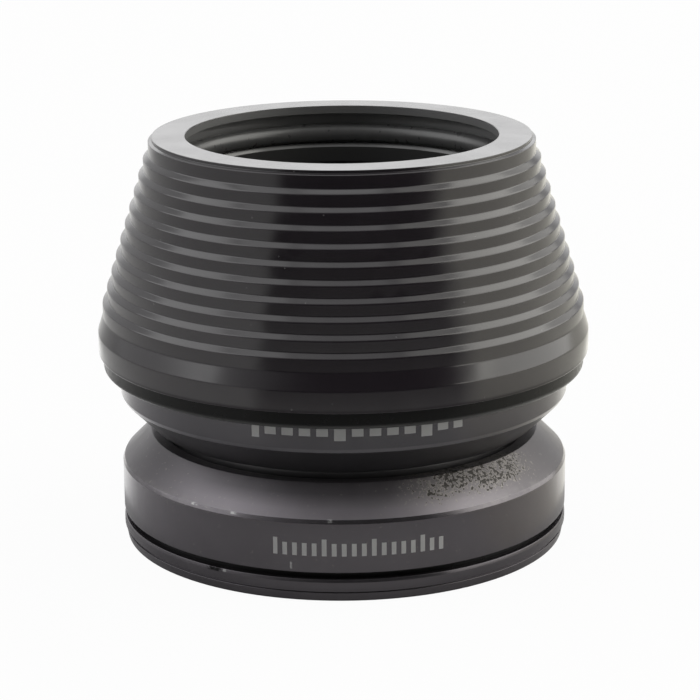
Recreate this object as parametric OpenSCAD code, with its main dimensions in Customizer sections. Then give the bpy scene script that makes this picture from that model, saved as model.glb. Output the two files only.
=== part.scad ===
// Bicycle headset, stacked as it sits on a fork: crown race, two angular-contact
// cartridge bearings with their small ends together, wedge ring, and a tall
// stepped top cover. Millimetres. Z is the steering axis, and Z = 0 is the
// underside of the crown race.

/* [Steerer and fork] */
// Diameter of the steerer tube that runs through the stack
steerer_d = 28.6; // [24:0.1:36]
// Radial clearance of the wedge ring round the steerer
wedge_bore_gap = 0.05; // [0.02:0.01:0.2]
// Radial clearance of the cover's lands round the steerer
cover_bore_gap = 0.07; // [0.05:0.01:0.5]
// How far the crown race's seat on the fork stands out past the steerer
crown_seat_step = 0.7; // [0.4:0.1:1]

/* [Bearings] */
// Radial wall between the wedge ring's bore and the bearing's bore
wedge_tip = 0.9; // [0.7:0.05:1.4]
// Radial section of a bearing, from its bore to its outside
bearing_section = 5.65; // [5:0.05:8]
// Height of a bearing
bearing_h = 8; // [7:0.1:11]
// Angle of the bearing's seats to the steering axis
seat_angle = 45; // [40:1:48]
// Width of the outer race's end face at the small end
small_face = 1.06; // [0.6:0.02:1.2]
// Radial width of the inner race's 45-degree seat at the big end
inner_seat = 2.35; // [1.8:0.05:2.6]
// How far the outer race is set back at the small end
outer_setback = 0.5; // [0.2:0.1:1]
// Height of the steep chamfer between the outer race's band and its cone
band_chamfer_h = 0.34; // [0.1:0.02:0.6]
// Radial width of that chamfer
band_chamfer_w = 0.16; // [0.05:0.01:0.3]
// Radius of the outer race's edge at the big end
rim_edge = 0.25; // [0.1:0.05:0.4]

/* [Balls and cage] */
// Diameter of a ball
ball_d = 3.175; // [2.5:0.001:3.9]
// Balls in each bearing
ball_count = 26; // [16:1:27]
// Height of the ball centres above the big end
ball_rise = 3.9; // [3.6:0.05:4.4]
// Radial clearance between a ball and its grooves
ball_gap = 0.06; // [0.02:0.01:0.1]
// Clearance between a ball and its pocket in the cage
pocket_gap = 0.08; // [0.04:0.01:0.15]
// Thickness of the cage's webs
cage_web = 0.7; // [0.5:0.05:0.8]
// Radial thickness of the cage's ring
cage_ring_t = 0.6; // [0.4:0.05:0.7]
// Height of the cage's ring
cage_ring_h = 1.5; // [1.2:0.1:1.8]
// How far the ring's top lies below the ball centres, as a share of the ball's radius
cage_ring_drop = 0.7; // [0.6:0.05:0.8]
// Reach of the webs to each side, as a share of the ball's radius
cage_web_reach = 0.92; // [0.85:0.01:0.95]

/* [Bearing seals] */
// Thickness of a seal
seal_t = 0.7; // [0.5:0.05:0.9]
// Radial gap between a seal's lip and the inner race
seal_lip_gap = 0.1; // [0.05:0.01:0.2]
// Depth of the groove that holds a seal in the outer race
seal_groove = 0.3; // [0.2:0.05:0.4]
// How far a seal is set in from the end of the race
seal_inset = 0.35; // [0.2:0.05:0.6]

/* [Crown race] */
// Height of the flange
flange_h = 2.06; // [1.6:0.02:3]
// Height of the whole crown race
crown_h = 4.7; // [3.8:0.1:4.8]
// Height of the turned foot under the flange's rim
foot_h = 0.8; // [0.4:0.02:0.9]
// How far the foot's upper edge is set in from the rim
foot_step = 0.12; // [0.05:0.01:0.3]
// Height of the groove between the foot and the rim
foot_groove_h = 0.32; // [0.2:0.02:0.5]
// Depth of that groove behind the foot
foot_groove = 0.15; // [0.05:0.05:0.4]
// How far the foot tapers in at its lower edge
foot_taper = 0.15; // [0.05:0.05:0.4]
// Gap between the flange and the lower bearing
crown_gap = 0.54; // [0.4:0.02:1]
// Height of the fine chamfer at the flange's upper edge
flange_chamfer_h = 0.28; // [0.1:0.02:0.5]
// Radial width of that chamfer
flange_chamfer_w = 0.06; // [0.02:0.01:0.15]
// Chamfer on the crown race's bore
crown_chamfer = 0.3; // [0.1:0.05:0.5]

/* [Wedge ring] */
// How deep the wedge reaches into the bearing's seat
wedge_reach = 2.2; // [1.6:0.1:2.3]
// Height of the ring's head above the bearing
wedge_head_h = 2.4; // [1.8:0.1:3.5]
// Gap between the ring's head and the bearing's end face
wedge_head_gap = 0.3; // [0.2:0.05:0.6]
// Width of the slit that lets the ring close on the steerer
wedge_slit = 1.6; // [0.8:0.1:3]

/* [Top cover] */
// Height of the cover
cover_h = 20; // [15:0.1:30]
// How far the rim stands out past the bearings
rim_overhang = 1.94; // [1.6:0.02:3]
// How far the rim hangs down past the bearing's end face
rim_drop = 0.85; // [0.7:0.05:1.4]
// Gap between the cover and the bearing's end face
cover_gap = 0.6; // [0.3:0.05:1]
// Height of the rim's plain band
rim_band = 2; // [1.2:0.1:3]
// Height of the slope from the band to the lowest ridge
rim_slope_h = 1.5; // [1:0.1:3]
// How far that slope leans in
rim_slope = 0.49; // [0.2:0.01:1]
// Height of the lowest ridge's flank
low_flank = 1.21; // [0.8:0.01:2]
// Number of ridges
ridge_count = 10; // [6:1:11]
// How far each ridge steps in from the one below
ridge_step = 0.454; // [0.3:0.002:0.46]
// Height of the sloping shoulder above each ridge
shoulder_h = 0.4; // [0.3:0.02:0.6]
// How much a flank leans in towards its foot
flank_draft = 0.05; // [0:0.01:0.08]
// Radius of a ridge's crest
crest_edge = 0.2; // [0.05:0.05:0.3]
// Radius in the root above a ridge
root_edge = 0.15; // [0.05:0.05:0.2]
// How much taller the top flank is than the others
top_flank_more = 0.08; // [0:0.02:0.3]
// Height of the fine lip round the top face
lip_h = 0.27; // [0.2:0.01:0.4]
// Height of the slope below the lip
lip_slope_h = 0.12; // [0.05:0.01:0.2]
// How far the lip is set in from the foot of that slope
lip_step = 0.34; // [0.1:0.02:0.5]
// Radial wall of the cover beside the hollow, at the top
cover_wall = 1.1; // [0.8:0.1:1.4]

/* [O-ring in the cover] */
// Thickness of the O-ring
oring_d = 1.8; // [1.4:0.1:2]
// Height of the land above the O-ring's groove
top_land = 0.75; // [0.6:0.05:1.5]
// Height of the groove
groove_h = 3; // [2.2:0.1:4]
// Height of the land below the groove
low_land = 1.7; // [1:0.1:3]
// Chamfer on the groove's lower edge
groove_chamfer = 0.3; // [0.1:0.05:0.5]

/* [Dust seals] */
// Height of the seal under the cover's rim
rim_seal_h = 1.5; // [0.8:0.1:2]
// How far that seal is set in from the rim
rim_seal_inset = 0.42; // [0.1:0.02:0.5]
// Radial room between the seal and the bearing, for the head tube's bore
tube_room = 0.7; // [0.6:0.05:0.8]
// Radial thickness of the rib that holds that seal in the rim
rib_t = 0.4; // [0.3:0.05:0.5]
// Height of that rib
rib_h = 0.8; // [0.5:0.05:1]
// Radial width of the seal let into the crown race
crown_seal_w = 0.9; // [0.6:0.05:1]
// How far that seal is set in from the flange's rim
crown_seal_inset = 0.85; // [0.5:0.05:1.2]
// Depth of that seal's groove
crown_seal_depth = 0.7; // [0.4:0.05:0.9]
// How high its lip stands above the flange
crown_lip_h = 0.35; // [0.2:0.05:0.35]

/* [Fits] */
// Clearance between two pieces that seat on each other
seat_gap = 0.02; // [0.01:0.01:0.05]
// Clearance between the wedge ring's head and its pocket
pocket_room = 0.1; // [0.05:0.05:0.3]

/* [Hidden] */

$fn = 128;
arc_steps = 5;      // straight pieces in a rounded corner
past = 1;           // how far a cut runs past what it cuts

// Radii and chamfers of the small edges
hair_edge = 0.05;
fine_edge = 0.1;
small_edge = 0.15;
soft_edge = 0.2;
round_edge = 0.35;
swept_edge = 0.7;   // between the rim's band, its slope and the lowest flank

anodised = [0.09, 0.09, 0.1];
dark_steel = [0.3, 0.3, 0.31];
bright_steel = [0.75, 0.76, 0.78];
cage_steel = [0.62, 0.58, 0.48];
wedge_grey = [0.45, 0.46, 0.48];
rubber = [0.05, 0.05, 0.055];

steerer_r = steerer_d / 2;
wedge_bore_r = steerer_r + wedge_bore_gap;
cover_bore_r = steerer_r + cover_bore_gap;
crown_bore_r = steerer_r + crown_seat_step;

bearing_in_r = wedge_bore_r + wedge_tip;
bearing_out_r = bearing_in_r + bearing_section;
pitch_r = (bearing_in_r + bearing_out_r) / 2;
ball_r = ball_d / 2;
groove_r = ball_r + ball_gap;
seat_slope = tan(seat_angle);       // radial run of a seat for each mm of height
seat_shift = seat_gap / cos(seat_angle);

// The races' shoulders beside the balls, as shares of the ball's radius from the pitch circle
outer_land = 0.6;
outer_mouth = 0.88;
inner_land = 0.92;
inner_mouth = 0.28;
outer_land_r = pitch_r - outer_land * ball_r;
outer_mouth_r = pitch_r + outer_mouth * ball_r;
inner_land_r = pitch_r - inner_land * ball_r;
inner_mouth_r = pitch_r + inner_mouth * ball_r;

outer_h = bearing_h - outer_setback;
small_end_r = outer_land_r + small_face;
cone_low_r = bearing_out_r - band_chamfer_w;
cone_low_z = outer_h - (cone_low_r - small_end_r) / seat_slope;
inner_seat_r = bearing_in_r + inner_seat;

lower_z = flange_h + crown_gap;
middle_z = lower_z + bearing_h;
upper_z = middle_z + bearing_h;

cover_z = upper_z - rim_drop;
cover_top_z = cover_z + cover_h;
wedge_top_z = upper_z + wedge_head_h;
rim_r = bearing_out_r + rim_overhang;
low_ridge_r = rim_r - rim_slope;
low_ridge_z = cover_z + rim_band + rim_slope_h + low_flank;
top_flank_z = cover_top_z - lip_h - lip_slope_h;
ridge_pitch = (top_flank_z - top_flank_more - low_ridge_z) / ridge_count;
top_flank_r = low_ridge_r - ridge_count * ridge_step;
cover_hollow_r = top_flank_r - cover_wall;

land_z = cover_top_z - top_land;
groove_z = land_z - groove_h;
hollow_top_z = groove_z - low_land;
oring_groove_r = cover_bore_r + oring_d + seat_gap;

wedge_neck_r = inner_seat_r - wedge_head_gap * seat_slope;
wedge_head_r = inner_seat_r + wedge_head_gap;
pocket_r = wedge_head_r + pocket_room;

rim_seal_in_r = bearing_out_r + tube_room;
rim_seal_out_r = rim_r - rim_seal_inset;
rib_out_r = rim_seal_in_r + rib_t;

crown_seal_out_r = bearing_out_r - crown_seal_inset;
crown_seal_in_r = crown_seal_out_r - crown_seal_w;

function unit(v) = v / norm(v);
function spun(v, angle) = [v.x * cos(angle) - v.y * sin(angle), v.x * sin(angle) + v.y * cos(angle)];
function turn(u, v) = atan2(u.x * v.y - u.y * v.x, u * v);

// Points that round the corner b, between a and c, with an arc no longer than its sides allow
function corner(a, b, c, radius) =
    let (
        u = unit(a - b),
        v = unit(c - b),
        half = abs(turn(u, v)) / 2,
        reach = min(radius / tan(half), 0.48 * min(norm(a - b), norm(c - b))),
        centre = b + unit(u + v) * reach / cos(half),
        from = b + u * reach - centre,
        sweep = turn(from, b + v * reach - centre)
    )
    [for (k = [0 : arc_steps]) centre + spun(from, sweep * k / arc_steps)];

// A closed outline from points [r, z], or [r, z, radius] where the corner is rounded
function rounded(path) = [
    for (i = [0 : len(path) - 1])
        let (
            a = path[(i + len(path) - 1) % len(path)],
            b = path[i],
            c = path[(i + 1) % len(path)]
        )
        each len(b) < 3 ? [b] : corner([a[0], a[1]], [b[0], b[1]], [c[0], c[1]], b[2])
];

module turned(path) {
    rotate_extrude()
        polygon(rounded(path));
}

// A bearing's own frame has its big end at 0 and its small end at bearing_h
module in_lower_bearing() {
    translate([0, 0, lower_z])
        children();
}

module in_upper_bearing() {
    translate([0, 0, upper_z])
        mirror([0, 0, 1])
            children();
}

module outer_race() {
    outline = [
        [outer_mouth_r, 0],
        [bearing_out_r, 0, rim_edge],
        [bearing_out_r, cone_low_z - band_chamfer_h, hair_edge],
        [cone_low_r, cone_low_z, small_edge],
        [small_end_r, outer_h, fine_edge],
        [outer_land_r, outer_h],
        [outer_land_r, ball_rise],
        [outer_mouth_r, ball_rise]
    ];
    color(dark_steel)
        rotate_extrude()
            difference() {
                polygon(rounded(outline));
                translate([pitch_r, ball_rise])
                    circle(r = groove_r);
                translate([outer_mouth_r - past, seal_inset])
                    square([seal_groove + past, seal_t]);
                translate([outer_land_r - past, outer_h - seal_inset - seal_t])
                    square([seal_groove / 2 + past, seal_t]);
            }
}

// The small end stands out past the outer race, so stacked bearings meet there
module inner_race() {
    end_z = bearing_h - seat_gap / 2;
    outline = [
        [inner_seat_r, 0],
        [inner_mouth_r, 0, fine_edge],
        [inner_mouth_r, ball_rise],
        [inner_land_r, ball_rise],
        [inner_land_r, end_z, small_edge],
        [bearing_in_r, end_z, small_edge],
        [bearing_in_r, inner_seat / seat_slope]
    ];
    color(dark_steel)
        rotate_extrude()
            difference() {
                polygon(rounded(outline));
                translate([pitch_r, ball_rise])
                    circle(r = groove_r);
            }
}

module each_ball() {
    for (i = [0 : ball_count - 1])
        rotate([0, 0, i * 360 / ball_count])
            translate([pitch_r, 0, ball_rise])
                children();
}

module balls() {
    color(bright_steel)
        each_ball()
            sphere(r = ball_r, $fn = 48);
}

// A ring on the big end's side of the balls, with webs that lean across between them
module cage() {
    ring_mid_r = (inner_mouth_r + outer_mouth_r) / 2;
    ring_top = ball_rise - cage_ring_drop * ball_r;
    web_reach = cage_web_reach * ball_r;
    color(cage_steel)
        difference() {
            rotate_extrude() {
                translate([ring_mid_r - cage_ring_t / 2, ring_top - cage_ring_h])
                    square([cage_ring_t, cage_ring_h]);
                translate([pitch_r, ball_rise])
                    rotate(135)
                        square([2 * web_reach, cage_web], center = true);
            }
            each_ball()
                sphere(r = ball_r + pocket_gap, $fn = 48);
        }
}

// The seal at the big end, held in the outer race and clear of the inner one
module big_end_seal() {
    color(rubber)
        turned([
            [inner_mouth_r + seal_lip_gap, seal_inset + seat_gap],
            [outer_mouth_r + seal_groove - seat_gap, seal_inset + seat_gap],
            [outer_mouth_r + seal_groove - seat_gap, seal_inset + seal_t - seat_gap],
            [inner_mouth_r + seal_lip_gap, seal_inset + seal_t - seat_gap, soft_edge]
        ]);
}

// The narrow seal at the small end
module small_end_seal() {
    top = outer_h - seal_inset;
    color(rubber)
        turned([
            [inner_land_r + seal_lip_gap, top - seal_t + seat_gap, small_edge],
            [outer_land_r + seal_groove / 2 - seat_gap, top - seal_t + seat_gap],
            [outer_land_r + seal_groove / 2 - seat_gap, top - seat_gap],
            [inner_land_r + seal_lip_gap, top - seat_gap, small_edge]
        ]);
}

// The flange carries the lower bearing on a cone that fits the inner race's seat
module crown_race() {
    function cone_r(z) = inner_seat_r - (z - lower_z) * seat_slope - seat_shift;
    foot_r = bearing_out_r - foot_step;
    rim_z = foot_h + foot_groove_h;
    color(dark_steel)
        turned([
            [crown_bore_r + crown_chamfer, 0],
            [foot_r - foot_taper, 0, fine_edge],
            [foot_r, foot_h, hair_edge],
            [foot_r - foot_groove, foot_h],
            [foot_r - foot_groove, rim_z],
            [bearing_out_r, rim_z, hair_edge],
            [bearing_out_r, flange_h - flange_chamfer_h, hair_edge],
            [bearing_out_r - flange_chamfer_w, flange_h, hair_edge],
            [crown_seal_out_r + seat_gap, flange_h],
            [crown_seal_out_r + seat_gap, flange_h - crown_seal_depth],
            [crown_seal_in_r - seat_gap, flange_h - crown_seal_depth],
            [crown_seal_in_r - seat_gap, flange_h],
            [cone_r(flange_h), flange_h],
            [cone_r(crown_h), crown_h, fine_edge],
            [crown_bore_r + crown_chamfer, crown_h],
            [crown_bore_r, crown_h - crown_chamfer],
            [crown_bore_r, crown_chamfer]
        ]);
}

// A square-section ring in the flange with a lip that reaches up to the outer race
module crown_race_seal() {
    lip = crown_seal_w / 2;
    color(rubber)
        turned([
            [crown_seal_in_r, flange_h - crown_seal_depth],
            [crown_seal_out_r, flange_h - crown_seal_depth],
            [crown_seal_out_r, flange_h + crown_lip_h, fine_edge],
            [crown_seal_out_r - lip, flange_h + crown_lip_h, fine_edge],
            [crown_seal_out_r - lip, flange_h],
            [crown_seal_in_r, flange_h]
        ]);
}

// A split cone that centres the upper bearing on the steerer
module compression_ring() {
    function cone_r(z) = inner_seat_r - (upper_z - z) * seat_slope - seat_shift;
    tip_z = upper_z - wedge_reach;
    neck_z = upper_z - (inner_seat_r - wedge_neck_r) / seat_slope;
    head_z = upper_z + wedge_head_gap;
    color(wedge_grey)
        difference() {
            turned([
                [wedge_bore_r, tip_z],
                [cone_r(tip_z), tip_z, small_edge],
                [cone_r(neck_z), neck_z],
                [cone_r(neck_z), head_z, fine_edge],
                [wedge_head_r, head_z, soft_edge],
                [wedge_head_r, wedge_top_z, soft_edge],
                [wedge_bore_r + soft_edge, wedge_top_z],
                [wedge_bore_r, wedge_top_z - soft_edge]
            ]);
            translate([-wedge_slit / 2, 0, tip_z - past])
                cube([wedge_slit, wedge_head_r + past, wedge_top_z - tip_z + 2 * past]);
        }
}

module cover_o_ring() {
    color(rubber)
        translate([0, 0, groove_z + oring_d / 2 + seat_gap])
            rotate_extrude()
                translate([cover_bore_r + oring_d / 2, 0])
                    circle(d = oring_d, $fn = 48);
}

// A lip seal pressed into the cover's rim, which wipes the top of the head tube
module rim_seal() {
    color(rubber)
        turned([
            [rim_seal_in_r, cover_z - rim_seal_h, small_edge],
            [rim_seal_out_r, cover_z - rim_seal_h, round_edge],
            [rim_seal_out_r, cover_z],
            [rib_out_r - seat_gap, cover_z],
            [rib_out_r - seat_gap, cover_z + rib_h - seat_gap, fine_edge],
            [rim_seal_in_r, cover_z + rib_h - seat_gap, fine_edge]
        ]);
}

// The outside from the rim's slope up to the top face: each ridge is a shoulder, a crest and a flank
function ridge_points() = [
    for (k = [0 : ridge_count - 1])
        let (
            crest_r = low_ridge_r - k * ridge_step,
            crest_z = low_ridge_z + k * ridge_pitch
        )
        each [
            [crest_r, crest_z, crest_edge],
            [crest_r - ridge_step - flank_draft, crest_z + shoulder_h, root_edge]
        ]
];

module top_cover() {
    lip_r = top_flank_r - flank_draft;
    outside = concat(
        [
            [rim_r, cover_z, small_edge],
            [rim_r, cover_z + rim_band, swept_edge],
            [low_ridge_r, cover_z + rim_band + rim_slope_h, swept_edge]
        ],
        ridge_points(),
        [
            [lip_r, top_flank_z, hair_edge],
            [lip_r - lip_step, cover_top_z - lip_h, hair_edge],
            [lip_r - lip_step, cover_top_z, hair_edge]
        ]
    );
    inside = [
        [cover_bore_r + hair_edge, cover_top_z],
        [cover_bore_r, cover_top_z - hair_edge],
        [cover_bore_r, land_z],
        [oring_groove_r, land_z],
        [oring_groove_r, groove_z],
        [cover_bore_r + groove_chamfer, groove_z],
        [cover_bore_r, groove_z - groove_chamfer],
        [cover_bore_r, hollow_top_z],
        [cover_hollow_r, hollow_top_z - (cover_hollow_r - cover_bore_r)],
        [cover_hollow_r, wedge_top_z],
        [pocket_r, wedge_top_z],
        [pocket_r, upper_z + cover_gap],
        [rim_seal_in_r, upper_z + cover_gap],
        [rim_seal_in_r, cover_z + rib_h],
        [rib_out_r, cover_z + rib_h],
        [rib_out_r, cover_z]
    ];
    color(anodised)
        turned(concat(outside, inside));
}

module lower_inner_race() {
    in_lower_bearing()
        inner_race();
}

module lower_outer_race() {
    in_lower_bearing()
        outer_race();
}

module lower_balls() {
    in_lower_bearing()
        balls();
}

module lower_cage() {
    in_lower_bearing()
        cage();
}

module lower_bottom_seal() {
    in_lower_bearing()
        big_end_seal();
}

module lower_top_seal() {
    in_lower_bearing()
        small_end_seal();
}

module upper_inner_race() {
    in_upper_bearing()
        inner_race();
}

module upper_outer_race() {
    in_upper_bearing()
        outer_race();
}

module upper_balls() {
    in_upper_bearing()
        balls();
}

module upper_cage() {
    in_upper_bearing()
        cage();
}

module upper_bottom_seal() {
    in_upper_bearing()
        small_end_seal();
}

module upper_top_seal() {
    in_upper_bearing()
        big_end_seal();
}

crown_race();
crown_race_seal();
lower_inner_race();
lower_outer_race();
lower_balls();
lower_cage();
lower_bottom_seal();
lower_top_seal();
upper_inner_race();
upper_outer_race();
upper_balls();
upper_cage();
upper_bottom_seal();
upper_top_seal();
compression_ring();
cover_o_ring();
rim_seal();
top_cover();
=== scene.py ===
import math

import bpy
from mathutils import Matrix, Vector


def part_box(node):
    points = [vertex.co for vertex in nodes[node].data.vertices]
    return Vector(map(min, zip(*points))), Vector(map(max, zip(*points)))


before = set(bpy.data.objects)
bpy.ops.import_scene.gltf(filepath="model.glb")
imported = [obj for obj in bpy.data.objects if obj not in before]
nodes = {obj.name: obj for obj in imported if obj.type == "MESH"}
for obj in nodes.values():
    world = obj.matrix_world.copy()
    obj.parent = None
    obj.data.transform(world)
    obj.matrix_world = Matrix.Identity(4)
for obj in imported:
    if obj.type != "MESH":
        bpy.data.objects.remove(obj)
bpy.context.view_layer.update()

MM = 0.001

# The photograph's frame, and the camera that fits the object's outlines in it
PHOTO_PX = 700
FOCAL_PX = 2448.6
AXIS_PX = 343.5            # column where the steering axis crosses the middle row
CAMERA_BACK = 221.37 * MM
CAMERA_UP = 78.99 * MM
CAMERA_PITCH = math.radians(15.624)
CAMERA_ROLL = math.radians(0.451)
SENSOR = 36.0
NEAR_CLIP = 10 * MM

# Heights of the pieces, read from the frame
LOWER_Z, CONE_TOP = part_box("lower_outer_race")[0].z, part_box("lower_outer_race")[1].z
UPPER_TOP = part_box("upper_outer_race")[1].z
TOP_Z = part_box("top_cover")[1].z
SEAM_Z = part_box("lower_inner_race")[1].z
CONE_REACH = 3.04 * MM     # the cones of both bearings lie this near to the seam between them

# Colours of the blackened races, and of the inner ones, painted paler as light in the deep shade between
# the races
LOWER_TINT = (0.117, 0.109, 0.119)
UPPER_TINT = (0.112, 0.108, 0.117)
CROWN_TINT = (0.105, 0.098, 0.107)
INNER_PAINTED_LIGHT_TINT = (0.25, 0.245, 0.255)

# Grey level and refractive index of the seals, and of the ring in the cover's bore, painted paler as light
# in the bore's shade
SEAL_GREY, SEAL_IOR = 0.005, 1.3
RING_PAINTED_LIGHT_GREY, RING_IOR = 0.09, 1.6

LAMP_REACH = 0.8           # metres from the object's middle to each lamp
OBJECT_MIDDLE = 20 * MM
WARM_LIGHT = (1.0, 0.985, 0.92)


class Shader:
    """The node tree of a material or of the world, with short calls for the nodes it needs."""

    def __init__(self, owner, space="Object", output="OutputMaterial"):
        owner.use_nodes = True
        self.owner = owner
        self.tree = owner.node_tree
        self.tree.nodes.clear()
        self.output = self.add(output)
        self.place = self.add("TexCoord").outputs[space]

    def add(self, kind, **settings):
        """A new node of a kind, with settings such as its operation."""
        node = self.tree.nodes.new("ShaderNode" + kind)
        for name, value in settings.items():
            setattr(node, name, value)
        return node

    def feed(self, node, *values, **named):
        """Feeds a node's inputs in their order, or by name with _ for a space, and returns the node."""
        pairs = list(zip(node.inputs, values))
        pairs += [(node.inputs[name.replace("_", " ")], value) for name, value in named.items()]
        for socket, value in pairs:
            if isinstance(value, bpy.types.NodeSocket):
                self.tree.links.new(value, socket)
            elif value is not None:
                socket.default_value = value
        return node

    def end(self, node):
        """Ends the tree in a node's first output, and returns the material or world."""
        self.tree.links.new(node.outputs[0], self.output.inputs["Surface"])
        return self.owner

    def surface(self, **inputs):
        """Ends the material in a Principled BSDF, with its inputs given by name."""
        return self.end(self.feed(self.add("BsdfPrincipled"), **inputs))

    def math(self, operation, a, b=None):
        return self.feed(self.add("Math", operation=operation), a, b).outputs[0]

    def total(self, first, *others):
        """The sum of numbers."""
        for other in others:
            first = self.math("ADD", first, other)
        return first

    def minus(self, a, b):
        return self.math("SUBTRACT", a, b)

    def times(self, first, *others):
        """The product of numbers."""
        for other in others:
            first = self.math("MULTIPLY", first, other)
        return first

    def unsigned(self, value):
        """A number without its sign."""
        return self.math("ABSOLUTE", value)

    def below(self, value, limit):
        """1 where a value is under a limit, and 0 elsewhere."""
        return self.math("LESS_THAN", value, limit)

    def above(self, value, limit):
        """1 where a value is over a limit, and 0 elsewhere."""
        return self.math("GREATER_THAN", value, limit)

    def spread(self, value, low, high, to_low=0.0, to_high=1.0, smooth=False):
        """Maps low..high of a value to to_low..to_high, held at both ends."""
        node = self.add("MapRange", interpolation_type="SMOOTHSTEP" if smooth else "LINEAR")
        self.feed(node, Value=value, From_Min=low, From_Max=high, To_Min=to_low, To_Max=to_high)
        return node.outputs["Result"]

    def window(self, value, low, high, soft):
        """1 inside low..high of a value and 0 outside, with soft edges."""
        rise = self.spread(value, low - soft, low + soft)
        fall = self.spread(value, high - soft, high + soft, 1.0, 0.0)
        return self.times(rise, fall)

    def blend(self, factor, a, b):
        """A number that goes from a to b."""
        return self.total(a, self.times(factor, self.minus(b, a)))

    def mix(self, factor, a, b):
        """A colour that goes from a to b."""
        node = self.feed(self.add("Mix", data_type="RGBA"), Factor=factor, A=a, B=b)
        return node.outputs["Result"]

    def scale(self, colour, factor):
        """A colour times a number."""
        return self.feed(self.add("VectorMath", operation="SCALE"), colour, Scale=factor).outputs[0]

    def split(self, vector):
        return self.feed(self.add("SeparateXYZ"), vector).outputs

    def join(self, x, y, z):
        return self.feed(self.add("CombineXYZ"), x, y, z).outputs[0]

    def noise(self, vector, scale, detail=2.0, roughness=0.5):
        node = self.add("TexNoise")
        self.feed(node, Vector=vector, Scale=scale, Detail=detail, Roughness=roughness)
        return node.outputs["Fac"]

    def cells(self, vector, scale):
        """Distance to the nearest of many scattered points."""
        return self.feed(self.add("TexVoronoi"), Vector=vector, Scale=scale).outputs["Distance"]

    def bump(self, height, strength, distance, normal=None):
        node = self.add("Bump")
        self.feed(node, Height=height, Strength=strength, Distance=distance, Normal=normal)
        return node.outputs["Normal"]

    def height(self):
        """Metres above the floor."""
        return self.split(self.place)[2]

    def radius(self):
        """Metres from the axis."""
        x, y, z = self.split(self.place)
        return self.math("SQRT", self.total(self.times(x, x), self.times(y, y)))

    def angle(self):
        """Degrees round the axis from the photograph's front, positive to the right."""
        x, y, z = self.split(self.place)
        return self.math("DEGREES", self.math("ARCTAN2", x, self.times(y, -1.0)))

    def turned(self, pitch=0.06 * MM):
        """Fine lines round the axis, as a cutting tool leaves, from a noise stretched along them."""
        metres_a_radian = 0.0006
        x, y, z = self.split(self.place)
        along = self.times(self.math("ARCTAN2", y, x), metres_a_radian)
        return self.noise(self.join(self.radius(), along, z), 1 / pitch, 1.0)


def material_shader(name):
    return Shader(bpy.data.materials.new(name))


def grey(level, warmth=0.0):
    """A neutral colour, a little warm or cool."""
    return (level * (1 + warmth), level, level * (1 - warmth), 1.0)


def shade(tint, level):
    """A colour times a level."""
    red, green, blue = tint
    return (red * level, green * level, blue * level, 1.0)


def anodised_black():
    """Gloss black anodised aluminium, with faint turning lines and a few specks of dust.

    The bore is painted greyer than the outside as light in its shade, most of all in its groove and on the
    land at its top, and the rim's lower edge mirrors less.
    """
    s = material_shader("anodised_black")
    bore_radius, groove_radius = 16.5 * MM, 14.9 * MM
    bore_top = TOP_Z - 0.04 * MM
    land_low, land_high = TOP_Z - 0.8 * MM, TOP_Z - 0.06 * MM
    edge_low, edge_high = TOP_Z - 19.8 * MM, TOP_Z - 19.6 * MM

    radius, z = s.radius(), s.height()
    bore = s.times(s.below(radius, bore_radius), s.below(z, bore_top))
    groove = s.times(bore, s.above(radius, groove_radius))
    land = s.times(bore, s.window(z, land_low, land_high, 0.02 * MM))
    cloud = s.noise(s.place, 260.0, 3.0)
    dust = s.below(s.cells(s.place, 520.0), 0.035)

    colour = s.mix(cloud, (0.01, 0.0072, 0.0102, 1.0), (0.014, 0.0104, 0.0142, 1.0))
    # Painted light: the bore, its groove and its land are lightened against the shade inside the cover
    colour = s.mix(bore, colour, grey(0.05))
    colour = s.mix(groove, colour, grey(0.3))
    colour = s.mix(land, colour, grey(0.13))
    colour = s.mix(s.times(dust, 0.25), colour, grey(0.3))
    return s.surface(
        Base_Color=colour,
        Roughness=s.total(s.spread(cloud, 0.3, 0.7, 0.14, 0.2), s.times(land, 0.25)),
        Normal=s.bump(s.turned(), 0.05, 0.01 * MM),
        IOR=1.7,
        Specular_IOR_Level=s.spread(z, edge_low, edge_high, 0.28, 0.5),
    )


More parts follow.
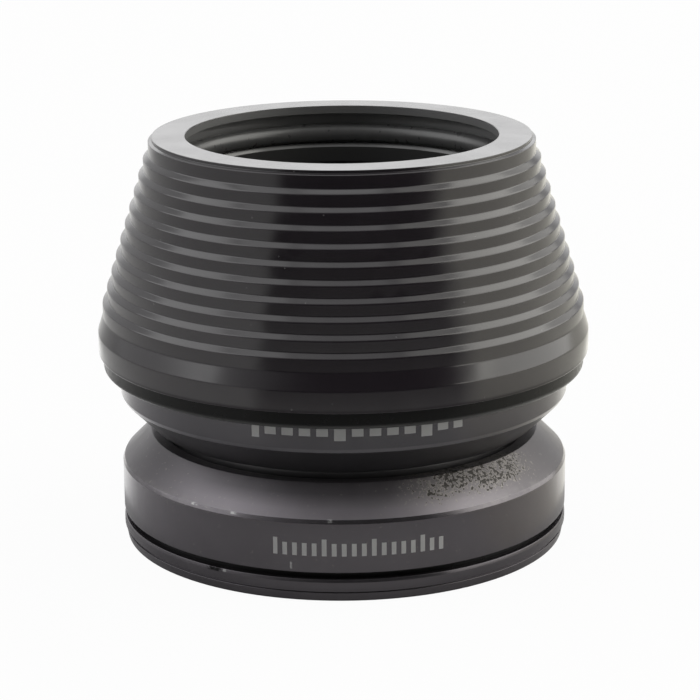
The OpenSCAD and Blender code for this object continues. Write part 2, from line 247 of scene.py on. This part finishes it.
def cone_wear_and_light(s, cone, colour, rough, normal):
    """Adds the lower cone's wear and painted light to a race's colour, roughness and normal.

    The cone's lower half is painted lighter in front, as light that the races above shade less there. At
    the right there is a patch of wear with dark pits and bright rims round them, and the cone's outer edge
    carries a painted highlight on both sides.
    """
    front_light_full, front_light_end = CONE_TOP - 1.9 * MM, CONE_TOP - 0.8 * MM
    patch_low, patch_high = CONE_TOP - 1.8 * MM, CONE_TOP + 0.5 * MM
    edge_low, edge_high = CONE_TOP - 2.9 * MM, CONE_TOP - 2.3 * MM
    turn, z = s.angle(), s.height()
    away = s.unsigned(turn)

    # Painted light: the cone's lower half lighter in front, where the races above shade it less
    lower_half = s.times(s.spread(z, front_light_full, front_light_end, 1.0, 0.0), cone)
    painted_front_light = s.times(lower_half, s.spread(away, 30.0, 50.0, 1.0, 0.2))
    colour = s.scale(colour, s.spread(painted_front_light, 0.0, 1.0, 1.0, 1.75))

    reach = s.times(s.window(turn, 19.0, 58.0, 8.0), s.window(z, patch_low, patch_high, 0.5 * MM))
    ragged = s.spread(s.noise(s.place, 500.0, 2.0), 0.35, 0.55, 0.55, 1.0)
    patch = s.times(reach, ragged)
    flecks = s.noise(s.place, 3300.0, 2.5, 0.6)
    under = s.minus(s.spread(patch, 0.02, 1.0, 0.24, 0.515), flecks)
    pits = s.spread(under, -0.01, 0.03)
    rims = s.spread(under, -0.09, -0.04)
    colour = s.mix(s.times(patch, 0.3), colour, grey(0.16, 0.06))
    colour = s.mix(s.times(rims, 0.6), colour, grey(0.26, 0.06))
    colour = s.mix(s.times(pits, 0.9), colour, grey(0.02, 0.1))
    rough = s.total(rough, s.times(patch, 0.12))
    normal = s.bump(pits, 0.6, -0.03 * MM, normal)

    # Painted highlight along the cone's outer edge at both sides
    edge = s.times(s.window(away, 30.0, 84.0, 10.0), s.window(z, edge_low, edge_high, 0.25 * MM))
    painted_edge_highlight = s.times(edge, s.spread(s.noise(s.place, 900.0, 4.0, 0.7), 0.4, 0.62))
    colour = s.mix(s.times(painted_edge_highlight, 0.25), colour, grey(0.24, 0.03))
    return colour, rough, normal


def ticks(s, base, reach, short, first, last, step, half):
    """A row of plain laser-marked bars from a first to a last angle, each fifth one longer.

    They start at the height base and go up by reach, or down where reach is negative. The short bars'
    length is a share of reach, and half a bar's width is a share of the step between bars.
    """
    slack = 0.5
    turn = s.angle()
    count = s.math("DIVIDE", s.minus(turn, first), step)
    nearest = s.math("ROUND", count)
    bar = s.below(s.unsigned(s.minus(count, nearest)), half)
    fifth = s.below(s.unsigned(s.math("MODULO", nearest, 5.0)), 0.5)
    share = s.math("DIVIDE", s.minus(s.height(), base), reach)
    end = s.total(short, s.times(fifth, 1.0 - short))
    inside = s.times(s.above(share, 0.0), s.below(share, end))
    row = s.times(s.above(turn, first - slack), s.below(turn, last + slack))
    return s.times(bar, row, inside)


def nick(s, colour, turn, z, half_width, half_height, level):
    """Adds a small ragged grey spot to a colour, at an angle and a height."""
    across = s.window(s.angle(), turn - half_width, turn + half_width, half_width / 3)
    up = s.window(s.height(), z - half_height, z + half_height, half_height / 3)
    ragged = s.spread(s.noise(s.place, 3500.0, 2.0), 0.35, 0.5)
    return s.mix(s.times(across, up, ragged), colour, grey(level))


def race_steel(name, tint, wear_and_light=False, nicks=(), marks=None):
    """Bearing steel, blackened and satin, with turning lines, wear, nicks and marks.

    The bands are painted a little lighter at both sides as reflected light, and the cones are rougher
    and painted darker as shade between the bearings, though not on the lower cone's front.
    """
    s = material_shader(name)
    away = s.unsigned(s.angle())
    cone = s.below(s.unsigned(s.minus(s.height(), SEAM_Z)), CONE_REACH)
    cloud = s.noise(s.place, 420.0, 4.0)

    # Painted light: each band lighter at its sides, and each cone darker as shade, the lower one less in
    # front
    band_painted_light = s.spread(away, 38.0, 64.0, 1.0, 1.25)
    cone_painted_shade = s.spread(away, 42.0, 58.0, 1.0, 0.72) if wear_and_light else 0.45
    colour = s.mix(cloud, shade(tint, 0.88), shade(tint, 1.12))
    colour = s.scale(colour, s.blend(cone, band_painted_light, cone_painted_shade))
    rough = s.total(s.spread(cloud, 0.3, 0.7, 0.19, 0.25), s.times(cone, 0.15))
    metal = s.spread(cone, 0.0, 1.0, 0.85, 0.68)
    normal = s.bump(s.turned(0.04 * MM), 0.06, 0.01 * MM)
    if wear_and_light:
        colour, rough, normal = cone_wear_and_light(s, cone, colour, rough, normal)
    for spot in nicks:
        colour = nick(s, colour, **spot)
    if marks:
        mark = ticks(s, **marks)
        colour = s.mix(mark, colour, grey(0.38))
        rough = s.total(rough, s.times(mark, 0.2))
        metal = s.minus(metal, s.times(mark, 0.65))
    return s.surface(Base_Color=colour, Metallic=metal, Roughness=rough, Normal=normal)


def lower_race_steel():
    """The lower race: a cone with wear and painted light, nicks along the band's edges, and its size
    marks.
    """
    row = dict(
        base=LOWER_Z + 1.65 * MM, reach=1.55 * MM, short=0.75, first=-17.0, last=25.0, step=2.4, half=0.24
    )
    band_top = LOWER_Z + 4.85 * MM
    nicks = (
        dict(turn=-3.6, z=band_top, half_width=0.5, half_height=0.12 * MM, level=0.6),
        dict(turn=-13.1, z=LOWER_Z + 0.7 * MM, half_width=0.25, half_height=0.3 * MM, level=0.4),
        dict(turn=-28.0, z=band_top, half_width=0.8, half_height=0.1 * MM, level=0.3),
        dict(turn=-40.0, z=band_top + 0.05 * MM, half_width=0.9, half_height=0.1 * MM, level=0.3),
    )
    return race_steel("race_steel_lower", LOWER_TINT, True, nicks, row)


def upper_race_steel():
    """The upper race, with a row of larger bars that reach down its band."""
    row = dict(
        base=UPPER_TOP - 1.9 * MM, reach=-1.9 * MM, short=0.8, first=-22.0, last=29.0, step=4.2, half=0.33
    )
    return race_steel("race_steel_upper", UPPER_TINT, marks=row)


def crown_race_steel():
    """The crown race, with one dark nick and a bright fleck beside it."""
    nicks = (
        dict(turn=-33.8, z=LOWER_Z - 0.7 * MM, half_width=2.0, half_height=0.16 * MM, level=0.01),
        dict(turn=-30.8, z=LOWER_Z - 0.68 * MM, half_width=0.5, half_height=0.1 * MM, level=0.3),
    )
    return race_steel("crown_steel", CROWN_TINT, nicks=nicks)


def rubber(name, base, ior, light_below=None):
    """Black nitrile, nearly smooth.

    Where a height is given, it is painted lighter below it, as light where the rim above shades it less,
    more so at the right.
    """
    s = material_shader(name)
    grain = s.noise(s.place, 1500.0, 3.0)
    colour = s.mix(grain, grey(base * 0.8), grey(base * 1.2))
    if light_below:
        # Painted light: lighter towards the bottom, and more at the right
        dust = s.spread(s.height(), light_below, light_below + 0.2 * MM, 0.038, 0.0)
        right = s.spread(s.window(s.angle(), 40.0, 140.0, 20.0), 0.0, 1.0, 1.0, 3.0)
        colour = s.mix(s.times(dust, right), colour, grey(1.0))
    return s.surface(
        Base_Color=colour,
        Roughness=s.spread(grain, 0.3, 0.7, 0.26, 0.36),
        Normal=s.bump(grain, 0.1, 0.02 * MM),
        IOR=ior,
    )


def polished_balls():
    """Chrome steel with a thin film of grease."""
    s = material_shader("ball_steel")
    film = s.noise(s.place, 600.0, 3.0)
    return s.surface(
        Base_Color=s.mix(film, grey(0.72), grey(0.6, 0.05)),
        Metallic=1.0,
        Roughness=s.spread(film, 0.4, 0.7, 0.06, 0.2),
    )


def pressed_cage():
    """Pressed sheet steel, dull."""
    s = material_shader("cage_steel")
    cloud = s.noise(s.place, 500.0, 4.0)
    return s.surface(
        Base_Color=s.mix(cloud, grey(0.35, 0.08), grey(0.5, 0.1)),
        Metallic=1.0,
        Roughness=s.spread(cloud, 0.3, 0.7, 0.35, 0.5),
        Normal=s.bump(cloud, 0.15, 0.02 * MM),
    )


def wedge_alloy():
    """Turned aluminium with a grey anodised film."""
    s = material_shader("wedge_alloy")
    lines = s.turned(0.08 * MM)
    return s.surface(
        Base_Color=s.mix(lines, grey(0.28), grey(0.38)),
        Metallic=1.0,
        Roughness=s.spread(lines, 0.3, 0.7, 0.28, 0.4),
        Normal=s.bump(lines, 0.25, 0.01 * MM),
    )


def smoothing():
    """Node group that joins the CAD faces' edges and shades soft across shallow ones."""
    weld_distance = 0.0005 * MM
    soft_below = math.radians(28)
    group = bpy.data.node_groups.new("soft_edges", "GeometryNodeTree")
    group.interface.new_socket("Geometry", in_out="INPUT", socket_type="NodeSocketGeometry")
    group.interface.new_socket("Geometry", in_out="OUTPUT", socket_type="NodeSocketGeometry")
    start = group.nodes.new("NodeGroupInput")
    end = group.nodes.new("NodeGroupOutput")
    merge = group.nodes.new("GeometryNodeMergeByDistance")
    merge.inputs["Distance"].default_value = weld_distance
    faces = group.nodes.new("GeometryNodeSetShadeSmooth")
    faces.domain = "FACE"
    edges = group.nodes.new("GeometryNodeSetShadeSmooth")
    edges.domain = "EDGE"
    bend = group.nodes.new("GeometryNodeInputMeshEdgeAngle")
    shallow = group.nodes.new("FunctionNodeCompare")
    shallow.operation = "LESS_THAN"
    shallow.inputs["B"].default_value = soft_below
    group.links.new(start.outputs[0], merge.inputs["Geometry"])
    group.links.new(merge.outputs[0], faces.inputs["Geometry"])
    group.links.new(faces.outputs[0], edges.inputs["Geometry"])
    group.links.new(bend.outputs["Unsigned Angle"], shallow.inputs["A"])
    group.links.new(shallow.outputs["Result"], edges.inputs["Shade Smooth"])
    group.links.new(edges.outputs[0], end.inputs[0])
    return group


def finish_node(name, material, group):
    """Gives a CAD node its material and soft shading."""
    piece = nodes[name]
    piece.data.materials.clear()
    piece.data.materials.append(material)
    soft = piece.modifiers.new("soft_edges", "NODES")
    soft.node_group = group
    weigh = piece.modifiers.new("weigh_normals", "WEIGHTED_NORMAL")
    weigh.keep_sharp = True
    weigh.weight = 100


def finishes():
    """Gives each node its material."""
    # Height below which the rim seal is painted lighter, out of the rim's shade
    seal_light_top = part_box("rim_seal")[0].z + 0.25 * MM
    seal = rubber("seal_rubber", SEAL_GREY, SEAL_IOR)
    # The inner races' paler tint is painted light in the shade between the races
    inner_race = race_steel("race_steel_inner", INNER_PAINTED_LIGHT_TINT)
    balls = polished_balls()
    cage = pressed_cage()
    materials = {
        "top_cover": anodised_black(),
        # The ring in the bore is painted paler as light in the bore's shade
        "cover_o_ring": rubber("ring_rubber", RING_PAINTED_LIGHT_GREY, RING_IOR),
        "rim_seal": rubber("rim_rubber", SEAL_GREY, SEAL_IOR, seal_light_top),
        "compression_ring": wedge_alloy(),
        "upper_outer_race": upper_race_steel(),
        "upper_inner_race": inner_race,
        "upper_balls": balls,
        "upper_cage": cage,
        "upper_top_seal": seal,
        "upper_bottom_seal": seal,
        "lower_outer_race": lower_race_steel(),
        "lower_inner_race": inner_race,
        "lower_balls": balls,
        "lower_cage": cage,
        "lower_top_seal": seal,
        "lower_bottom_seal": seal,
        "crown_race": crown_race_steel(),
        "crown_race_seal": seal,
    }
    group = smoothing()
    for name, material in materials.items():
        finish_node(name, material, group)


def softbox(name, turn, rise, wide, high, level, colour=(1.0, 1.0, 1.0)):
    """An area lamp of a stated brightness, by its direction and its width and height in degrees.

    The turn is measured round the object from the photograph's front, positive to the right.
    """
    lamp = bpy.data.lights.new(name, "AREA")
    lamp.shape = "RECTANGLE"
    lamp.size = 2 * LAMP_REACH * math.tan(math.radians(wide / 2))
    lamp.size_y = 2 * LAMP_REACH * math.tan(math.radians(high / 2))
    lamp.energy = level * math.pi * lamp.size * lamp.size_y
    lamp.color = colour
    turn, rise = math.radians(turn), math.radians(rise)
    way = Vector((math.sin(turn) * math.cos(rise), -math.cos(turn) * math.cos(rise), math.sin(rise)))
    holder = bpy.data.objects.new(name, lamp)
    holder.location = way * LAMP_REACH + Vector((0.0, 0.0, OBJECT_MIDDLE))
    holder.rotation_euler = (-way).to_track_quat("-Z", "Y").to_euler()
    holder.visible_camera = False
    bpy.context.scene.collection.objects.link(holder)


def flat_mesh(name, corners, z, material, faces=None):
    """Flat polygons at a height, which belong to the stage and not to the object."""
    mesh = bpy.data.meshes.new(name)
    mesh.from_pydata([(x, y, z) for x, y in corners], [], faces or [range(len(corners))])
    mesh.materials.append(material)
    piece = bpy.data.objects.new(name, mesh)
    bpy.context.scene.collection.objects.link(piece)
    return piece


def floor_material():
    """Pale floor that the camera sees nearly white, with the object's soft shadow."""
    seen_white = 0.96
    s = material_shader("floor")
    paint = s.feed(s.add("BsdfDiffuse"), Color=s.mix(s.noise(s.place, 12.0), grey(0.62), grey(0.64)))
    by_camera = s.add("LightPath").outputs["Is Camera Ray"]
    return s.end(
        s.feed(
            s.add("MixShader"),
            s.times(by_camera, seen_white),
            paint.outputs[0],
            s.add("Emission").outputs[0],
        )
    )


def card_material():
    """What the object's gloss shows of the floor.

    The cover mirrors the far part: black in front, with a sharp edge to grey at the left and a soft
    one to cream at the right. The races mirror the rings nearer to the object, and what lies behind
    the object is pale to all of them.
    """
    s = material_shader("floor_card")
    foot_edge, middle_edge, outer_edge = (42 * MM, 46 * MM), (56 * MM, 62 * MM), (74 * MM, 78 * MM)
    cream_edge = (46.0, 58.0)
    turn, radius = s.angle(), s.radius()
    away = s.unsigned(turn)

    level = s.total(
        s.spread(turn, -37.0, -33.0, 0.5, 0.04),
        s.spread(turn, *cream_edge, 0.0, 0.7),
        s.spread(turn, 108.0, 116.0, 0.0, -0.1),
        s.spread(away, 140.0, 160.0, 0.0, 0.35),
        s.spread(radius, 76 * MM, 115 * MM, 0.2, 0.0),
    )
    outer = s.spread(away, 80.0, 150.0, 0.6, 1.0)
    level = s.blend(s.spread(radius, *outer_edge), outer, level)
    middle = s.spread(away, 60.0, 140.0, 0.07, 0.42)
    narrowed = s.total(radius, s.spread(away, 60.0, 130.0, 0.0, 10 * MM))
    level = s.blend(s.spread(narrowed, *middle_edge), middle, level)
    foot = s.spread(away, 35.0, 110.0, 0.57, 1.0)
    level = s.blend(s.spread(radius, *foot_edge), foot, level)
    tint = s.mix(s.spread(turn, *cream_edge), grey(1.0), (1.0, 0.98, 0.9, 1.0))

    behind = s.minus(away, s.spread(radius, 30 * MM, 80 * MM, 92.0, 136.0))
    glow = s.times(s.spread(behind, 0.0, 16.0), s.spread(radius, 70 * MM, 82 * MM, 0.45, 0.12))
    return s.surface(
        Base_Color=s.scale(tint, level),
        Roughness=0.9,
        Specular_IOR_Level=0.0,
        Emission_Color=grey(1.0),
        Emission_Strength=glow,
    )


def floor_card():
    """A ring-shaped card on the floor, seen only in the object's reflections."""
    steps, near, far, lift = 96, 26 * MM, 1.5, 0.2 * MM
    turns = [math.tau * k / steps for k in range(steps)]
    inner = [(near * math.sin(turn), -near * math.cos(turn)) for turn in turns]
    outer = [(x * far / near, y * far / near) for x, y in inner]
    faces = [(k, (k + 1) % steps, steps + (k + 1) % steps, steps + k) for k in range(steps)]
    card = flat_mesh("floor_card", inner + outer, lift, card_material(), faces)
    card.visible_camera = False
    card.visible_diffuse = False
    card.visible_shadow = False
    card.visible_transmission = False


def world_light():
    """A pale room, white to the camera, that is dark on the camera's side and dimmer at the right."""
    dark_way = (0.24, -0.97, 0.05)
    world = bpy.data.worlds.new("studio")
    bpy.context.scene.world = world
    s = Shader(world, "Generated", "OutputWorld")
    toward = s.feed(s.add("VectorMath", operation="DOT_PRODUCT"), s.place, dark_way).outputs["Value"]
    room = s.spread(toward, 0.15, 0.92, 0.84, 0.07, smooth=True)
    right = s.spread(s.split(s.place)[0], 0.1, 0.5, 1.0, 0.7)
    by_camera = s.add("LightPath").outputs["Is Camera Ray"]
    seen = s.feed(s.add("Mix"), by_camera, A=s.times(room, right), B=1.0).outputs["Result"]
    s.end(s.feed(s.add("Background"), Strength=seen))


def studio():
    """World, softboxes and floor."""
    world_light()
    softbox("left_box", -88.0, 35.0, 58.0, 48.0, 1.0)
    softbox("left_high_box", -94.0, 68.0, 40.0, 14.0, 0.55)
    softbox("right_box", 94.0, 38.0, 60.0, 42.0, 1.35, WARM_LIGHT)
    softbox("right_wide_box", 106.0, 36.0, 84.0, 42.0, 0.85, WARM_LIGHT)
    softbox("right_high_box", 106.0, 68.0, 40.0, 14.0, 0.55, WARM_LIGHT)
    softbox("right_low_box", 92.0, 8.0, 80.0, 18.0, 1.5, WARM_LIGHT)
    softbox("back_box", 180.0, 17.5, 38.0, 14.0, 1.05)
    softbox("back_wide_box", 180.0, 3.0, 76.0, 16.0, 0.4)
    softbox("top_box", 180.0, 86.0, 24.0, 20.0, 0.7)

    span = 3.0
    flat_mesh("floor", [(-span, -span), (span, -span), (span, span), (-span, span)], 0.0, floor_material())
    floor_card()


def camera():
    """The camera at the photograph's place."""
    data = bpy.data.cameras.new("camera")
    data.sensor_width = SENSOR
    data.lens = FOCAL_PX / PHOTO_PX * SENSOR
    data.shift_x = (PHOTO_PX / 2 - AXIS_PX) / PHOTO_PX
    data.clip_start = NEAR_CLIP
    holder = bpy.data.objects.new("camera", data)
    holder.location = (0.0, -CAMERA_BACK, CAMERA_UP)
    tilt = Matrix.Rotation(math.pi / 2 - CAMERA_PITCH, 4, "X")
    holder.rotation_euler = (tilt @ Matrix.Rotation(-CAMERA_ROLL, 4, "Z")).to_euler()
    bpy.context.scene.collection.objects.link(holder)
    bpy.context.scene.camera = holder


finishes()
studio()
camera()
bpy.context.scene.view_settings.view_transform = "Standard"
